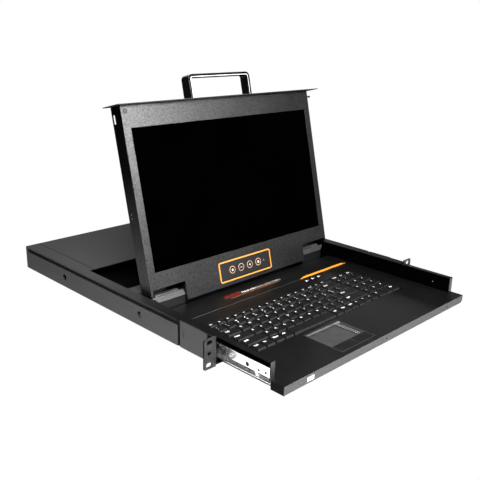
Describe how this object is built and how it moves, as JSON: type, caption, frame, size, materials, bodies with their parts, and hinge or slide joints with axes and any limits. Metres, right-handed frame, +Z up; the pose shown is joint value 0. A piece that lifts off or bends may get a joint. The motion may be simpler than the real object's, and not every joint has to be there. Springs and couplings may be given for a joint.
{
  "type": "rackmount screen and keyboard drawer",
  "caption": "Shallow steel rack drawer: a sliding tray with keyboard and touchpad, and a flat screen with a carry handle that folds up on friction hinges.",
  "frame": {"origin": "centre of the four rack slots, on the front face of the rack ears", "axes": "+X to the right seen from the front, +Y into the rack, +Z up"},
  "size_m": [0.4826, 0.6248, 0.3538],
  "materials": {
    "black_powder_coat": "fine-textured black powder coat",
    "zinc_plate": "bright zinc-plated steel",
    "ball_steel": "polished ball steel",
    "cage_steel": "thin spring-steel strip",
    "key_plastic": "fine-grained black keycap plastic",
    "socket_plastic": "black moulded plastic",
    "screen_black": "dark display module",
    "gilt": "gilt metal trim",
    "ring_bronze": "bronze-coloured rings",
    "button_plastic": "black button plastic",
    "board_green": "green circuit board",
    "supply_case": "sheet metal case",
    "hinge_metal": "satin steel",
    "socket_steel": "plated steel shell",
    "screw_black": "black oxide"
  },
  "bodies": {
    "chassis": {"chassis_pan": "black_powder_coat", "top_rims": "black_powder_coat", "rack_ear_left": "black_powder_coat", "rack_ear_right": "black_powder_coat", "mount_bars": "black_powder_coat", "bay_wall": "black_powder_coat", "rear_cover": "black_powder_coat", "rear_panel": "black_powder_coat", "power_inlet": "socket_plastic", "switch_body": "socket_plastic", "video_socket": "socket_steel", "usb_sockets": "socket_steel", "power_supply": "supply_case", "switch_board": "board_green", "bay_posts": "hinge_metal", "case_screws": "screw_black", "slide_cabinets": "zinc_plate"},
    "slide_middles": {"slide_middles": "zinc_plate"},
    "outer_ball_cages": {"cages_outer": "cage_steel", "balls_outer": "ball_steel"},
    "inner_ball_cages": {"cages_inner": "cage_steel", "balls_inner": "ball_steel"},
    "tray": {"tray_pan": "black_powder_coat", "rear_shelf": "black_powder_coat", "deck_plate": "black_powder_coat", "deck_posts": "hinge_metal", "keyboard_base": "black_powder_coat", "touchpad_frame": "key_plastic", "touchpad_plate": "key_plastic", "hinge_blocks": "black_powder_coat", "hinge_barrels": "hinge_metal", "hinge_plates": "hinge_metal", "slide_drawers": "zinc_plate"},
    "screen": {"screen_shell": "black_powder_coat", "screen_back": "black_powder_coat", "display_module": "screen_black", "display_rails": "hinge_metal", "front_panel": "black_powder_coat", "handle": "black_powder_coat", "hinge_arms": "hinge_metal", "button_frame": "gilt", "button_rings": "ring_bronze", "button_board": "board_green", "screen_screws": "screw_black"},
    "latch_pin": {"latch_pin": "hinge_metal"},
    "power_rocker": {"switch_rocker": "socket_plastic"},
    "keys_function_row": {"keys_function_row": "key_plastic"},
    "keys_number_row": {"keys_number_row": "key_plastic"},
    "keys_tab_row": {"keys_tab_row": "key_plastic"},
    "keys_home_row": {"keys_home_row": "key_plastic"},
    "keys_shift_row": {"keys_shift_row": "key_plastic"},
    "keys_space_row": {"keys_space_row": "key_plastic"},
    "keys_number_pad": {"keys_number_pad": "key_plastic"},
    "space_bar": {"key_space": "key_plastic"},
    "touchpad_button_left": {"touchpad_button_left": "key_plastic"},
    "touchpad_button_right": {"touchpad_button_right": "key_plastic"},
    "menu_button_1": {"menu_button_1": "button_plastic"},
    "menu_button_2": {"menu_button_2": "button_plastic"},
    "menu_button_3": {"menu_button_3": "button_plastic"},
    "menu_button_4": {"menu_button_4": "button_plastic"}
  },
  "joints": [
    {"name": "tray_slide", "type": "slide", "parent": "chassis", "child": "tray", "axis": [0, -1, 0], "range_m": [-0.1155, 0.1845]},
    {"name": "middle_members_slide", "type": "slide", "parent": "chassis", "child": "slide_middles", "axis": [0, -1, 0], "range_m": [-0.0578, 0.0923]},
    {"name": "outer_cages_slide", "type": "slide", "parent": "chassis", "child": "outer_ball_cages", "axis": [0, -1, 0], "range_m": [-0.0289, 0.0462]},
    {"name": "inner_cages_slide", "type": "slide", "parent": "chassis", "child": "inner_ball_cages", "axis": [0, -1, 0], "range_m": [-0.0867, 0.1384]},
    {"name": "screen_hinge", "type": "hinge", "parent": "tray", "child": "screen", "pos_m": [0, 0.1712, 0.01125], "axis": [1, 0, 0], "range_deg": [-12, 103.23]},
    {"name": "latch_pin_press", "type": "slide", "parent": "screen", "child": "latch_pin", "axis": [-1, 0, 0], "range_m": [0, 0.005], "stiffness_N_per_m": 400, "springref_m": -0.001},
    {"name": "power_rocker_tip", "type": "hinge", "parent": "chassis", "child": "power_rocker", "pos_m": [-0.122, 0.5024, 0.00045], "axis": [1, 0, 0], "range_deg": [-13, 0]},
    {"name": "keys_function_row_press", "type": "slide", "parent": "tray", "child": "keys_function_row", "axis": [0, 0, -1], "range_m": [0, 0.0018], "stiffness_N_per_m": 800, "springref_m": -0.0006},
    {"name": "keys_number_row_press", "type": "slide", "parent": "tray", "child": "keys_number_row", "axis": [0, 0, -1], "range_m": [0, 0.0018], "stiffness_N_per_m": 800, "springref_m": -0.0006},
    {"name": "keys_tab_row_press", "type": "slide", "parent": "tray", "child": "keys_tab_row", "axis": [0, 0, -1], "range_m": [0, 0.0018], "stiffness_N_per_m": 800, "springref_m": -0.0006},
    {"name": "keys_home_row_press", "type": "slide", "parent": "tray", "child": "keys_home_row", "axis": [0, 0, -1], "range_m": [0, 0.0018], "stiffness_N_per_m": 800, "springref_m": -0.0006},
    {"name": "keys_shift_row_press", "type": "slide", "parent": "tray", "child": "keys_shift_row", "axis": [0, 0, -1], "range_m": [0, 0.0018], "stiffness_N_per_m": 800, "springref_m": -0.0006},
    {"name": "keys_space_row_press", "type": "slide", "parent": "tray", "child": "keys_space_row", "axis": [0, 0, -1], "range_m": [0, 0.0018], "stiffness_N_per_m": 800, "springref_m": -0.0006},
    {"name": "keys_number_pad_press", "type": "slide", "parent": "tray", "child": "keys_number_pad", "axis": [0, 0, -1], "range_m": [0, 0.0018], "stiffness_N_per_m": 800, "springref_m": -0.0006},
    {"name": "space_bar_press", "type": "slide", "parent": "tray", "child": "space_bar", "axis": [0, 0, -1], "range_m": [0, 0.0018], "stiffness_N_per_m": 400, "springref_m": -0.0006},
    {"name": "touchpad_button_left_press", "type": "slide", "parent": "tray", "child": "touchpad_button_left", "axis": [0, 0, -1], "range_m": [0, 0.0005], "stiffness_N_per_m": 1500, "springref_m": -0.0003},
    {"name": "touchpad_button_right_press", "type": "slide", "parent": "tray", "child": "touchpad_button_right", "axis": [0, 0, -1], "range_m": [0, 0.0005], "stiffness_N_per_m": 1500, "springref_m": -0.0003},
    {"name": "menu_button_1_press", "type": "slide", "parent": "screen", "child": "menu_button_1", "axis": [0, 0.9735, -0.2289], "range_m": [0, 0.0008], "stiffness_N_per_m": 1500, "springref_m": -0.0004},
    {"name": "menu_button_2_press", "type": "slide", "parent": "screen", "child": "menu_button_2", "axis": [0, 0.9735, -0.2289], "range_m": [0, 0.0008], "stiffness_N_per_m": 1500, "springref_m": -0.0004},
    {"name": "menu_button_3_press", "type": "slide", "parent": "screen", "child": "menu_button_3", "axis": [0, 0.9735, -0.2289], "range_m": [0, 0.0008], "stiffness_N_per_m": 1500, "springref_m": -0.0004},
    {"name": "menu_button_4_press", "type": "slide", "parent": "screen", "child": "menu_button_4", "axis": [0, 0.9735, -0.2289], "range_m": [0, 0.0008], "stiffness_N_per_m": 1500, "springref_m": -0.0004}
  ],
  "couplings": [
    {"joint": "middle_members_slide", "follows": "tray_slide", "ratio": 0.5},
    {"joint": "outer_cages_slide", "follows": "tray_slide", "ratio": 0.25},
    {"joint": "inner_cages_slide", "follows": "tray_slide", "ratio": 0.75}
  ]
}
